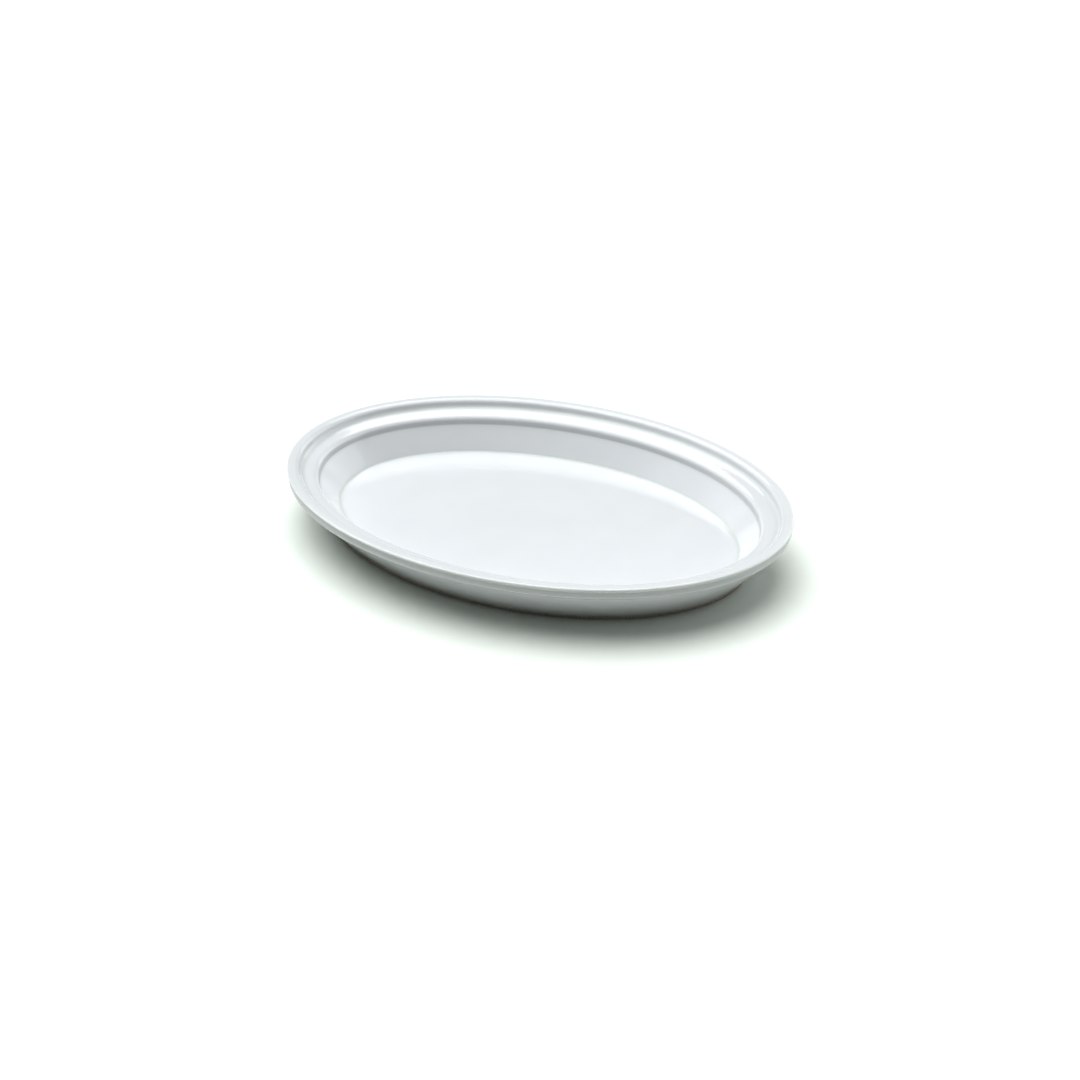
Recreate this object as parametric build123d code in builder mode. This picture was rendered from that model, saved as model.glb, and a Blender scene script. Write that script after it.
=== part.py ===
from build123d import *
import os

# A heavy oval serving platter of white china, standing on its foot ring.
# Millimetres, +Z up. The origin is on the table, under the middle of the platter,
# and +X runs along its length.

os.makedirs("parts", exist_ok=True)

# ---------------------------------------------------------------- driving dimensions
LENGTH = 355.0  # over the rim, along X
WIDTH = 247.0  # over the rim, along Y
HEIGHT = 39.6  # from the table to the top of the rim bead
GLAZE = 0.4  # thickness of the fired glaze

# Every band of the platter runs at a constant distance inside the rim oval. These are
# those distances (insets) and the heights above the table.
BEAD_WIDTH = 7.0  # the roll that finishes the rim, across its top
BEAD_UNDERSIDE = 37.9  # height of the roll's lower edge, outside
GROOVE_INSET = 1.3  # the groove turned under the roll
GROOVE_HEIGHT = 37.0
RIB_INSET = 0.5  # the lower edge of the band under the groove
RIB_HEIGHT = 32.8
STEP_INSET = 3.4  # where the rib steps in to the outer wall
STEP_HEIGHT = 30.7

COVE_INSET = 9.8  # the hollow inside the roll
COVE_HEIGHT = 33.8
LEDGE_INSET = 20.2  # the inner edge of the flat rim
LEDGE_HEIGHT = 32.0
WALL_TOP_INSET = 21.9  # where the ledge has dropped to the well's wall
WALL_TOP_HEIGHT = 26.8
WELL_INSET = 34.4  # where the wall meets the well's flat floor
WELL_HEIGHT = 10.6

FOOT_INSET = 28.2  # outer edge of the foot ring
FOOT_FLARE = 0.6  # the foot ring's outer face leans out by this much towards its top
FOOT_HEIGHT = 3.0
FOOT_WIDTH = 5.0  # of the dry ring that stands on the table
BASE_HEIGHT = 3.8  # the underside inside the foot ring
DRY_FOOT_HEIGHT = 2.8  # the glaze is wiped off the foot ring up to here
GROUND_OFF = 0.1  # the fired foot ring is ground down by this much, to stand flat

# The swept border ends under the flat floor, and a slab fills the middle.
BORDER_INSET = 52.0
SLAB_INSET = 46.0  # the slab overlaps the border by the difference


def section_point(inset, height):
    """A point of the border's section, which is drawn at the +X end of the rim."""
    return (LENGTH / 2 - inset, height)


# ---------------------------------------------------------------- the section, glazed
# Corners of the outline in order round the border, from the foot ring up the outside,
# over the rim and down into the well, each with the radius that rounds it.
rounded_corners = [
    (FOOT_INSET, -GROUND_OFF, 0.9),
    (FOOT_INSET - FOOT_FLARE, FOOT_HEIGHT, 0.6),
    (STEP_INSET, STEP_HEIGHT, 0.9),
    (RIB_INSET, RIB_HEIGHT, 1.0),
    (GROOVE_INSET, GROOVE_HEIGHT, 0.6),
    (0.0, BEAD_UNDERSIDE, 0.5),
    (0.0, HEIGHT, 1.3),
    (BEAD_WIDTH, HEIGHT, 4.0),
    (COVE_INSET, COVE_HEIGHT, 5.0),
    (LEDGE_INSET, LEDGE_HEIGHT, 4.5),
    (WALL_TOP_INSET, WALL_TOP_HEIGHT, 2.4),
    (WELL_INSET, WELL_HEIGHT, 3.0),
    (BORDER_INSET, WELL_HEIGHT, 0.0),
    (BORDER_INSET, BASE_HEIGHT, 0.0),
    (FOOT_INSET + FOOT_WIDTH + 1.0, BASE_HEIGHT, 1.2),
    (FOOT_INSET + FOOT_WIDTH, -GROUND_OFF, 0.9),
]

with BuildSketch(Plane.XZ) as glazed_section:
    with BuildLine():
        FilletPolyline(
            *[section_point(inset, height) for inset, height, _ in rounded_corners],
            radius=[radius for _, _, radius in rounded_corners],
            close=True,
        )
    make_face()

# The fired clay under the glaze: the glazed section less the glaze's thickness, with
# the dry part of the foot ring put back to its full size. A rectangle over everything
# outside BORDER_END cuts the plain inner end off each section.
BORDER_END = section_point(BORDER_INSET - 2.0, HEIGHT / 2)
FOOT_MIDDLE = section_point(FOOT_INSET + FOOT_WIDTH / 2, 0)

with BuildSketch(Plane.XZ) as dry_foot_section:
    add(glazed_section.sketch_local)
    with Locations(FOOT_MIDDLE):
        Rectangle(2 * FOOT_WIDTH, 2 * DRY_FOOT_HEIGHT, mode=Mode.INTERSECT)

with BuildSketch(Plane.XZ) as clay_section:
    add(glazed_section.sketch_local)
    offset(amount=-GLAZE)
    add(dry_foot_section.sketch_local)
    with Locations(BORDER_END):
        Rectangle(LENGTH, 2 * HEIGHT, align=(Align.MIN, Align.CENTER), mode=Mode.INTERSECT)

# What is left between the two outlines is the glaze: a long strip over the outside,
# the rim and the well, and a short one under the base.
with BuildSketch(Plane.XZ) as glaze_strips:
    add(glazed_section.sketch_local)
    add(clay_section.sketch_local, mode=Mode.SUBTRACT)
    with Locations(BORDER_END):
        Rectangle(LENGTH, 2 * HEIGHT, align=(Align.MIN, Align.CENTER), mode=Mode.INTERSECT)
base_strip, upper_strip = glaze_strips.sketch.faces().sort_by(SortBy.AREA)

# ---------------------------------------------------------------- the oval
# Each section is carried round the rim oval, and a flat slab fills the middle.
with BuildLine() as rim_oval:
    EllipticalCenterArc((0, 0), LENGTH / 2, WIDTH / 2, 0, arc_size=360)

SLAB_RADII = (LENGTH / 2 - SLAB_INSET, WIDTH / 2 - SLAB_INSET)

# ---------------------------------------------------------------- fired clay body
# Foot ring, base, wall and rim are one piece of clay.
with BuildPart() as body:
    sweep(sections=clay_section.sketch, path=rim_oval.line)
    with BuildSketch(Plane.XY.offset(BASE_HEIGHT + GLAZE)):
        Ellipse(*SLAB_RADII)
    extrude(amount=WELL_HEIGHT - BASE_HEIGHT - 2 * GLAZE)
    split(bisect_by=Plane.XY)
body.part.label = "body"
export_step(body.part, "parts/body.step")

# ---------------------------------------------------------------- glaze, outside and well
with BuildPart() as upper_glaze:
    sweep(sections=upper_strip, path=rim_oval.line)
    with BuildSketch(Plane.XY.offset(WELL_HEIGHT - GLAZE)):
        Ellipse(*SLAB_RADII)
    extrude(amount=GLAZE)
upper_glaze.part.label = "upper_glaze"
export_step(upper_glaze.part, "parts/upper_glaze.step")

# ---------------------------------------------------------------- glaze, under the base
with BuildPart() as base_glaze:
    sweep(sections=base_strip, path=rim_oval.line)
    with BuildSketch(Plane.XY.offset(BASE_HEIGHT)):
        Ellipse(*SLAB_RADII)
    extrude(amount=GLAZE)
base_glaze.part.label = "base_glaze"
export_step(base_glaze.part, "parts/base_glaze.step")
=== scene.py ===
import math

import bpy
from mathutils import Matrix, Vector, noise


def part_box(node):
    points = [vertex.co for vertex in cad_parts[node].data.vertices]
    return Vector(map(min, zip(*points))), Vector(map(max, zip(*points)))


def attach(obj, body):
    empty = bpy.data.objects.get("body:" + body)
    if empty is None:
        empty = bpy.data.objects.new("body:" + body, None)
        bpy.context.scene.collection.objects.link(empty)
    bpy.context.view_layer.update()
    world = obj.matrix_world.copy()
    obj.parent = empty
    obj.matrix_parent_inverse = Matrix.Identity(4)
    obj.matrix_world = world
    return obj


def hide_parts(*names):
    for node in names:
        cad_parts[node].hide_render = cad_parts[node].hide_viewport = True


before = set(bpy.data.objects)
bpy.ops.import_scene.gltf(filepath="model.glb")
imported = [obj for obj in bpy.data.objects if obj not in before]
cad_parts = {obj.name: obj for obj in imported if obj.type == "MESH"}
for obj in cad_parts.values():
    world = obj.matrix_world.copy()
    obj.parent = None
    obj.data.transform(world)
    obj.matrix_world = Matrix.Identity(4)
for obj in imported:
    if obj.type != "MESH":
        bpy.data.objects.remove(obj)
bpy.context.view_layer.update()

MM = 0.001  # lengths are in metres

# ------------------------------------------------------------------ driving dimensions
# The overall sizes come from the CAD frame. The platter's bands run at constant
# distances (insets) inside the rim oval, at the heights given here, as they do in CAD.
low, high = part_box("upper_glaze")
HALF_LENGTH = (high[0] - low[0]) / 2
HALF_WIDTH = (high[1] - low[1]) / 2
RIM_HEIGHT = high[2]
GLAZE_FOOT = low[2]  # the glaze stops this far above the table
BASE_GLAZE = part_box("base_glaze")
GLAZE = HALF_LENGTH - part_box("body")[1][0]  # thickness
BASE_HEIGHT = BASE_GLAZE[1][2] - GLAZE  # the underside inside the foot ring
FOOT_INNER_INSET = HALF_LENGTH - BASE_GLAZE[1][0]

FOOT_INSET = 28.2 * MM
WELL_HEIGHT = 10.6 * MM
BORDER_INSET = 50 * MM  # flat floor and base continue from here to the middle

# Corners of the glazed section: inset from the rim oval, height, and the radius that
# rounds the corner. They run from the middle of the base, over the foot ring, up the
# outside, over the rim and down into the well.
CORNERS = [
    (BORDER_INSET, BASE_HEIGHT, 0.0),
    (FOOT_INNER_INSET + 1.0 * MM, BASE_HEIGHT, 1.2 * MM),  # where the base meets the foot ring
    (FOOT_INNER_INSET, 0.0, 0.9 * MM),  # inner edge of the foot ring's ground face
    (FOOT_INSET, 0.0, 0.9 * MM),  # and its outer edge
    (FOOT_INSET - 0.6 * MM, 3.0 * MM, 0.6 * MM),  # the foot ring flares up to here
    (3.4 * MM, 30.7 * MM, 0.9 * MM),  # top of the outer wall, under the band
    (0.5 * MM, 32.8 * MM, 1.0 * MM),  # lower edge of the band
    (1.3 * MM, 37.0 * MM, 0.6 * MM),  # groove
    (0.0, 37.9 * MM, 0.5 * MM),  # underside of the rim's roll
    (0.0, RIM_HEIGHT, 1.3 * MM),  # outer edge of the roll, on top
    (7.0 * MM, RIM_HEIGHT, 4.0 * MM),  # and its inner edge
    (9.8 * MM, 33.8 * MM, 5.0 * MM),  # cove inside the roll
    (20.2 * MM, 32.0 * MM, 4.5 * MM),  # inner edge of the ledge
    (21.9 * MM, 26.8 * MM, 2.4 * MM),  # top of the well's wall
    (34.4 * MM, WELL_HEIGHT, 3.0 * MM),  # edge of the well's floor
    (BORDER_INSET, WELL_HEIGHT, 0.0),
]

# How finely the meshes are cut
ARC_STEP = math.radians(9)  # the most that a rounded corner turns from point to point
RUN_STEP = 1.6 * MM  # the most between two points of a straight run
AROUND = 320  # points round the oval
MIDDLE_RINGS = 24  # rings over a flat face, from its edge to the middle

# A fired surface isn't quite true.
WOBBLE = 0.10 * MM  # how far it strays, at the most
WOBBLE_SIZE = 22 * MM  # how long its waves are

# The glaze's colour follows how sharply the surface turns: greener and darker in hollows, partly
# pooled glaze and partly painted shade, and lighter on edges as a painted highlight.
RELIEF_REACH = 1.2 * MM  # the length of outline over which the turn is felt
RELIEF_FULL_TURN = math.radians(70)  # this much turn or more counts as 1


# ------------------------------------------------------------------ camera
# The platter is seen from above its front, turned so that its +X end comes nearer.
VIEW_ELEVATION = math.radians(30.6)
VIEW_TURN = math.radians(-24.2)
VIEW_DISTANCE = 1.40
VIEW_RIGHT = -3.4 * MM  # how far the platter's middle is from the picture's centre
VIEW_UP = 3.3 * MM
FOCAL_LENGTH = 68.6  # millimetres, as is the sensor's width
SENSOR_WIDTH = 36


def add_camera():
    turn = Matrix.Rotation(VIEW_TURN, 3, "Z")
    sine, cosine = math.sin(VIEW_ELEVATION), math.cos(VIEW_ELEVATION)
    to_camera = Matrix(((1, 0, 0), (0, sine, cosine), (0, -cosine, sine))) @ turn
    data = bpy.data.cameras.new("camera")
    data.lens = FOCAL_LENGTH
    data.sensor_width = SENSOR_WIDTH
    camera = bpy.data.objects.new("camera", data)
    platter_middle = Vector((VIEW_RIGHT, VIEW_UP, -VIEW_DISTANCE))
    from_camera = to_camera.transposed()
    camera.matrix_world = Matrix.Translation(-(from_camera @ platter_middle)) @ from_camera.to_4x4()
    bpy.context.collection.objects.link(camera)
    bpy.context.scene.camera = camera


# ------------------------------------------------------------------ section outlines
def rounded(corners):
    """Points along an outline through these corners, with each corner's arc put in."""
    points = [Vector(corners[0][:2])]
    for before, (inset, height, radius), after in zip(corners, corners[1:], corners[2:]):
        corner = Vector((inset, height))
        arriving = (corner - Vector(before[:2])).normalized()
        leaving = (Vector(after[:2]) - corner).normalized()
        turn = arriving.angle_signed(leaving)
        start = corner - arriving * abs(radius * math.tan(turn / 2))
        centre = start + radius * math.copysign(1, turn) * Vector((arriving.y, -arriving.x))
        steps = max(2, math.ceil(abs(turn) / ARC_STEP))
        for i in range(steps + 1):
            spoke = Matrix.Rotation(-turn * i / steps, 2) @ (start - centre)
            points.append(centre + spoke)
    points.append(Vector(corners[-1][:2]))
    return points


def divided(points):
    """The same outline with its straight runs cut into short steps."""
    result = [points[0]]
    for start, end in zip(points, points[1:]):
        steps = math.ceil((end - start).length / RUN_STEP)
        result += [start.lerp(end, i / steps) for i in range(1, steps + 1)]
    return result


def outward_normals(points):
    """The side of each outline point that faces away from the clay."""
    normals = []
    for i in range(len(points)):
        along = points[min(i + 1, len(points) - 1)] - points[max(i - 1, 0)]
        normals.append(Vector((-along.y, along.x)).normalized())
    return normals


def relief(points):
    """How sharply the outline turns at each point: 1 on tight edges, -1 in tight hollows."""
    turns = []
    for point in points:
        total = 0.0
        for before, corner, after in zip(points, points[1:], points[2:]):
            distance = (corner - point).length
            if distance < 3 * RELIEF_REACH:  # beyond this the weight is next to nothing
                turn = (corner - before).angle_signed(after - corner, 0.0)
                total += turn * math.exp(-((distance / RELIEF_REACH) ** 2))
        turns.append(max(-1.0, min(1.0, total / RELIEF_FULL_TURN)))
    return turns


# ------------------------------------------------------------------ meshes round the oval
def fired(place, outward, wobble):
    """This place, pushed in or out a little, as a fired surface is."""
    return place + wobble * noise.noise(place / WOBBLE_SIZE) * outward


def oval_ring(point, normal, wobble):
    """Points once round the oval at this point of the section."""
    ring = []
    for i in range(AROUND):
        angle = 2 * math.pi * i / AROUND
        x, y = HALF_LENGTH * math.cos(angle), HALF_WIDTH * math.sin(angle)
        outward = Vector((x / HALF_LENGTH**2, y / HALF_WIDTH**2, 0)).normalized()
        place = Vector((x, y, point.y)) - point.x * outward
        ring.append(fired(place, Vector((0, 0, normal.y)) - normal.x * outward, wobble))
    return ring


def middle_rings(edge, point, normal, wobble):
    """Rings that carry a flat face on from its edge towards the middle."""
    outward = Vector((0, 0, normal.y))
    rings = []
    for i in range(MIDDLE_RINGS - 1, 0, -1):
        share = i / MIDDLE_RINGS
        places = [Vector((p.x * share, p.y * share, point.y)) for p in edge]
        rings.append([fired(place, outward, wobble) for place in places])
    return rings


def ring_piece(name, outline, normals, turns, wobble):
    """A closed piece whose section outline starts and ends on flat faces that reach the
    middle of the platter."""
    rings = [oval_ring(p, n, wobble) for p, n in zip(outline, normals)]
    first = middle_rings(rings[0], outline[0], normals[0], wobble)[::-1]
    last = middle_rings(rings[-1], outline[-1], normals[-1], wobble)
    rings = first + rings + last
    turns = [0.0] * len(first) + turns + [0.0] * len(last)

    vertices = [point for ring in rings for point in ring]
    faces = []
    for k in range(len(rings) - 1):
        for i in range(AROUND):
            j = (i + 1) % AROUND
            here, there = k * AROUND, (k + 1) * AROUND
            faces.append((here + i, here + j, there + j, there + i))

    # A fan of triangles closes the first and the last ring.
    for ring_start, order in ((0, -1), ((len(rings) - 1) * AROUND, 1)):
        middle = len(vertices)
        ring = vertices[ring_start : ring_start + AROUND]
        vertices.append(sum(ring, Vector((0, 0, 0))) / AROUND)
        for i in range(AROUND):
            pair = (ring_start + i, ring_start + (i + 1) % AROUND)[::order]
            faces.append((*pair, middle))

    mesh = bpy.data.meshes.new(name)
    mesh.from_pydata([tuple(v) for v in vertices], [], faces)
    mesh.shade_smooth()
    values = [turn for turn in turns for _ in range(AROUND)] + [0.0, 0.0]
    mesh.attributes.new("relief", "FLOAT", "POINT").data.foreach_set("value", values)
    piece = bpy.data.objects.new(name, mesh)
    bpy.context.collection.objects.link(piece)
    return piece


def platter_pieces():
    """The clay body, and the two coats of glaze that are parted by its bare foot ring."""
    glazed = divided(rounded(CORNERS))
    normals = outward_normals(glazed)
    turns = relief(glazed)
    flat = [0.0] * len(glazed)
    dry = [i for i, point in enumerate(glazed) if point.y < GLAZE_FOOT]
    clay = [
        point if i in dry else point - GLAZE * normal
        for i, (point, normal) in enumerate(zip(glazed, normals))
    ]
    body = ring_piece("platter_body", clay, normals, turns, 0.0)

    start = dry[-1] + 1
    upper = ring_piece(
        "platter_glaze",
        clay[start:][::-1] + glazed[start:],
        normals[start:][::-1] + normals[start:],
        flat[start:] + turns[start:],
        WOBBLE,
    )
    end = dry[0]
    under = ring_piece(
        "base_glaze_coat",
        glazed[:end] + clay[:end][::-1],
        normals[:end] + normals[:end][::-1],
        turns[:end] + flat[:end],
        WOBBLE,
    )
    return body, upper, under


# ------------------------------------------------------------------ materials
# Stops of the glaze's colour, by relief brought from -1..1 to 0..1: it is greener in hollows, where
# it pools, and darker there as painted shade; on edges it is a little lighter, as a painted
# highlight.
GLAZE_POOLING_AND_PAINTED_LIGHT = [
    (0.1, (0.81, 0.855, 0.815)),
    (0.5, (0.90, 0.912, 0.925)),
    (0.9, (0.925, 0.935, 0.935)),
]
# Stops of painted light, by how far the surface faces up: the glaze is drawn whitest on the slopes
# of the well, and greyer where it lies level or faces sideways or down, as painted light and shade.
PAINTED_SLOPE_LIGHT = [
    (0.2, (0.8, 0.8, 0.8)),
    (0.62, (1.0, 1.0, 1.0)),
    (0.95, (0.81, 0.81, 0.81)),
]
GLAZE_ROUGHNESS = 0.09
MOTTLE = (0.97, 1.02)  # the least and the most that the mottle multiplies the colour by

# Stops of the clay's colour, by the grain's noise, both darker than the fired white clay is:
# painted shade of the recessed foot ring
CLAY_GRAIN_AND_PAINTED_SHADE = [
    (0.3, (0.36, 0.33, 0.28)),
    (0.6, (0.52, 0.48, 0.42)),
]
CLAY_ROUGHNESS = 0.85

INDEX_OF_REFRACTION = 1.5  # of all three materials, as of glass

FLOOR_COLOUR = (0.885, 0.915, 0.865)
FLOOR_ROUGHNESS = 0.45
FLOOR_SPECULAR = 0.4
FLOOR_HALF = 20.0  # from the middle to each side


def new_material(name, roughness):
    """A node material, and its node tree and Principled shader."""
    material = bpy.data.materials.new(name)
    material.use_nodes = True
    tree = material.node_tree
    shader = tree.nodes["Principled BSDF"]
    shader.inputs["Roughness"].default_value = roughness
    shader.inputs["IOR"].default_value = INDEX_OF_REFRACTION
    return material, tree, shader


def add_ramp(tree, source, stops):
    """The colours of these stops, which are in rising order, looked up by source."""
    node = tree.nodes.new("ShaderNodeValToRGB")
    elements = node.color_ramp.elements
    for element, (position, colour) in zip(elements, (stops[0], stops[-1])):
        element.position = position
        element.color = (*colour, 1)
    for position, colour in stops[1:-1]:
        elements.new(position).color = (*colour, 1)
    tree.links.new(source, node.inputs["Fac"])
    return node.outputs["Color"]


def add_noise(tree, scale, detail):
    """A noise over the object, with this many waves per metre."""
    place = tree.nodes.new("ShaderNodeTexCoord")
    node = tree.nodes.new("ShaderNodeTexNoise")
    node.inputs["Scale"].default_value = scale
    node.inputs["Detail"].default_value = detail
    tree.links.new(place.outputs["Object"], node.inputs["Vector"])
    return node.outputs["Fac"]


def add_bump(tree, shader, height, strength, distance):
    node = tree.nodes.new("ShaderNodeBump")
    node.inputs["Strength"].default_value = strength
    node.inputs["Distance"].default_value = distance
    tree.links.new(height, node.inputs["Height"])
    tree.links.new(node.outputs["Normal"], shader.inputs["Normal"])


def glaze_material():
    """Opaque white gloss glaze, with a faint mottle, the slight ripple of a fired surface, and
    painted light and shade in its colour."""
    material, tree, shader = new_material("white_glaze", GLAZE_ROUGHNESS)
    nodes, links = tree.nodes, tree.links

    # Greener, darker glaze in hollows is pooling plus painted shade; the lighter glaze on edges is
    # a painted highlight.
    attribute = nodes.new("ShaderNodeAttribute")
    attribute.attribute_name = "relief"
    span = nodes.new("ShaderNodeMapRange")
    span.inputs["From Min"].default_value = -1
    links.new(attribute.outputs["Fac"], span.inputs["Value"])
    pooling_and_painted_light = add_ramp(tree, span.outputs["Result"], GLAZE_POOLING_AND_PAINTED_LIGHT)

    # Painted light: the colour is lifted on slopes and dimmed on level, sideways and downward
    # faces.
    surface = nodes.new("ShaderNodeNewGeometry")
    facing = nodes.new("ShaderNodeSeparateXYZ")
    links.new(surface.outputs["Normal"], facing.inputs["Vector"])
    painted_slope_light = add_ramp(tree, facing.outputs["Z"], PAINTED_SLOPE_LIGHT)

    mottle = nodes.new("ShaderNodeMapRange")
    mottle.inputs["To Min"].default_value, mottle.inputs["To Max"].default_value = MOTTLE
    links.new(add_noise(tree, scale=35, detail=3), mottle.inputs["Value"])
    strength = nodes.new("ShaderNodeMath")
    strength.operation = "MULTIPLY"
    links.new(mottle.outputs["Result"], strength.inputs[0])
    links.new(painted_slope_light, strength.inputs[1])
    colour = nodes.new("ShaderNodeVectorMath")
    colour.operation = "SCALE"
    links.new(pooling_and_painted_light, colour.inputs[0])
    links.new(strength.outputs["Value"], colour.inputs["Scale"])
    links.new(colour.outputs["Vector"], shader.inputs["Base Color"])

    ripple = add_noise(tree, scale=90, detail=2)
    add_bump(tree, shader, ripple, strength=0.15, distance=0.4 * MM)
    return material


def clay_material():
    """Dry fired clay: matte, a little warm, with fine grains, and drawn darker than the clay is, as
    painted shade of the recessed foot ring.
    """
    material, tree, shader = new_material("fired_clay", CLAY_ROUGHNESS)
    grain = add_noise(tree, scale=900, detail=6)
    tree.links.new(add_ramp(tree, grain, CLAY_GRAIN_AND_PAINTED_SHADE), shader.inputs["Base Color"])
    add_bump(tree, shader, grain, strength=0.5, distance=0.2 * MM)
    return material


def floor_material():
    material, _, shader = new_material("pale_floor", FLOOR_ROUGHNESS)
    shader.inputs["Specular IOR Level"].default_value = FLOOR_SPECULAR
    shader.inputs["Base Color"].default_value = (*FLOOR_COLOUR, 1)
    return material


# ------------------------------------------------------------------ studio
# Azimuths and elevations are in degrees, round the platter as the camera sees it: azimuth
# 0 is straight behind it, and 90 is to the right.
KEY_COLOUR = (0.97, 0.99, 1.0)
OVERHEAD_AZIMUTH = -38
OVERHEAD_ELEVATION = 72
OVERHEAD_WIDTH = math.radians(70)
OVERHEAD_STRENGTH = 3.35

# Each card's name, azimuth, elevation, width and height in degrees as seen from the
# platter, and radiance
CARDS = [
    ("left_card", -90, 28, 76, 24, 0.4),
    ("right_card", 70, 22, 78, 32, 1.3),
    ("front_card", 180, 6, 80, 10, 0.5),
]
CARD_DISTANCE = 1.5

FILL_COLOUR = (0.98, 1.0, 0.95)
FILL_STRENGTH = 0.005

# The picture's tone: the exposure makes the floor white, and the gamma deepens shadows.
EXPOSURE = 0.22
GAMMA = 0.76


def add_floor():
    mesh = bpy.data.meshes.new("floor")
    half = FLOOR_HALF
    corners = [(-half, -half, 0), (half, -half, 0), (half, half, 0), (-half, half, 0)]
    mesh.from_pydata(corners, [], [(0, 1, 2, 3)])
    mesh.materials.append(floor_material())
    floor = bpy.data.objects.new("floor", mesh)
    bpy.context.collection.objects.link(floor)


def studio_direction(azimuth, elevation):
    """From the platter towards a place in the studio."""
    turn = Matrix.Rotation(VIEW_TURN, 3, "Z")
    right, behind = turn[0], turn[1]
    level = math.cos(azimuth) * behind + math.sin(azimuth) * right
    return math.cos(elevation) * level + math.sin(elevation) * Vector((0, 0, 1))


def add_light(name, kind, azimuth, elevation, energy):
    """A light that shines on the platter from this direction."""
    data = bpy.data.lights.new(name, kind)
    data.energy = energy
    data.color = KEY_COLOUR
    light = bpy.data.objects.new(name, data)
    direction = studio_direction(math.radians(azimuth), math.radians(elevation))
    facing = direction.to_track_quat("Z", "Y").to_matrix().to_4x4()
    light.matrix_world = Matrix.Translation(CARD_DISTANCE * direction) @ facing
    bpy.context.collection.objects.link(light)
    return light


def add_overhead():
    """One very wide softbox over the whole table, so far off that it lights it evenly."""
    light = add_light("overhead", "SUN", OVERHEAD_AZIMUTH, OVERHEAD_ELEVATION, OVERHEAD_STRENGTH)
    light.data.angle = OVERHEAD_WIDTH


def add_card(name, azimuth, elevation, width, height, radiance):
    """A bright card that stands beside the table and faces the platter."""
    size = [2 * CARD_DISTANCE * math.tan(math.radians(angle) / 2) for angle in (width, height)]
    power = radiance * math.pi * size[0] * size[1]
    light = add_light(name, "AREA", azimuth, elevation, power)
    light.data.shape = "RECTANGLE"
    light.data.size, light.data.size_y = size
    light.visible_camera = False


def add_surroundings():
    """A faint even fill light, and a white backdrop that only the camera sees."""
    world = bpy.data.worlds.new("studio")
    bpy.context.scene.world = world
    world.use_nodes = True
    nodes, links = world.node_tree.nodes, world.node_tree.links
    fill = nodes["Background"]
    fill.inputs["Color"].default_value = (*FILL_COLOUR, 1)
    fill.inputs["Strength"].default_value = FILL_STRENGTH
    backdrop = nodes.new("ShaderNodeBackground")
    backdrop.inputs["Color"].default_value = (*KEY_COLOUR, 1)
    path = nodes.new("ShaderNodeLightPath")
    choice = nodes.new("ShaderNodeMixShader")
    links.new(path.outputs["Is Camera Ray"], choice.inputs["Fac"])
    links.new(fill.outputs["Background"], choice.inputs[1])
    links.new(backdrop.outputs["Background"], choice.inputs[2])
    links.new(choice.outputs["Shader"], nodes["World Output"].inputs["Surface"])


def set_tone():
    view = bpy.context.scene.view_settings
    view.view_transform = "Standard"
    view.exposure = EXPOSURE
    view.gamma = GAMMA


# ------------------------------------------------------------------ the scene
add_camera()
body, upper, under = platter_pieces()
glaze = glaze_material()
for piece, node, material, slot in (
    (body, "body", clay_material(), "fired_clay"),
    (upper, "upper_glaze", glaze, "glaze"),
    (under, "base_glaze", glaze, "glaze"),
):
    piece.data.materials.append(material)
    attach(piece, "root")
    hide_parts(node)

add_floor()
add_overhead()
for card in CARDS:
    add_card(*card)
add_surroundings()
set_tone()
